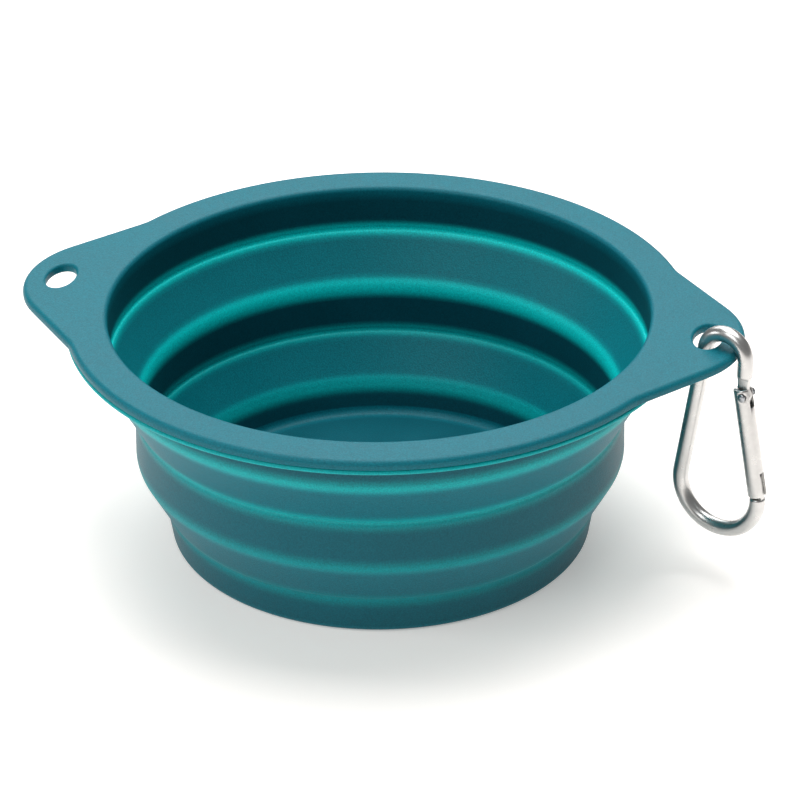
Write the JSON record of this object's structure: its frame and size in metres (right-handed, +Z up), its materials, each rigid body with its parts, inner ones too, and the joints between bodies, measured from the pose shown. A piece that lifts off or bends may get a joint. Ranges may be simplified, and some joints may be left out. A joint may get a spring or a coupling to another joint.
{
  "type": "collapsible travel bowl with carabiner",
  "caption": "Folding silicone bowl with stepped concertina wall, flat rim, slotted ears and a hanging spring-gate carabiner",
  "frame": {"origin": "the middle of the underside of the bowl, on the surface it stands on", "axes": "+Z up out of the open mouth, +X towards the ear that carries the carabiner, -X towards the plain ear"},
  "size_m": [0.1635, 0.1332, 0.0577],
  "materials": {
    "silicone": "fine matte moulded silicone, teal",
    "thin_silicone": "thin moulded silicone that lets light through, bright teal",
    "aluminium": "tumbled bright aluminium",
    "steel": "plain drawn steel"
  },
  "bodies": {
    "base": {"bowl_floor": "silicone", "base_wall_ring": "silicone", "lower_fold_web_inner": "thin_silicone", "lower_fold_band": "silicone", "lower_fold_web_outer": "thin_silicone"},
    "middle_ring": {"middle_wall_ring": "silicone", "upper_fold_web_inner": "thin_silicone", "upper_fold_band": "silicone", "upper_fold_web_outer": "thin_silicone"},
    "rim": {"upper_wall_ring": "silicone", "rim_plate": "silicone"},
    "carabiner": {"carabiner_frame": "aluminium", "gate_rivet": "steel"},
    "gate": {"carabiner_gate": "aluminium", "gate_spring": "steel", "spring_follower": "steel"}
  },
  "joints": [
    {"name": "lower_fold", "type": "slide", "parent": "base", "child": "middle_ring", "axis": [0, 0, 1], "range_m": [-0.0185, 0], "deforming": ["lower_fold_web_inner", "lower_fold_band", "lower_fold_web_outer"]},
    {"name": "upper_fold", "type": "slide", "parent": "middle_ring", "child": "rim", "axis": [0, 0, 1], "range_m": [-0.0225, 0], "deforming": ["upper_fold_web_inner", "upper_fold_band", "upper_fold_web_outer"]},
    {"name": "carabiner_swing", "type": "hinge", "parent": "rim", "child": "carabiner", "pos_m": [0.07508, -0.00447, 0.0519], "axis": [-0.4226, -0.9063, 0], "range_deg": [-12, 80]},
    {"name": "gate_hinge", "type": "hinge", "parent": "carabiner", "child": "gate", "pos_m": [0.07979, -0.00666, 0.0436], "axis": [0.4226, 0.9063, 0], "range_deg": [0, 25], "stiffness_Nm_per_rad": 0.004, "springref_deg": -17.19}
  ]
}
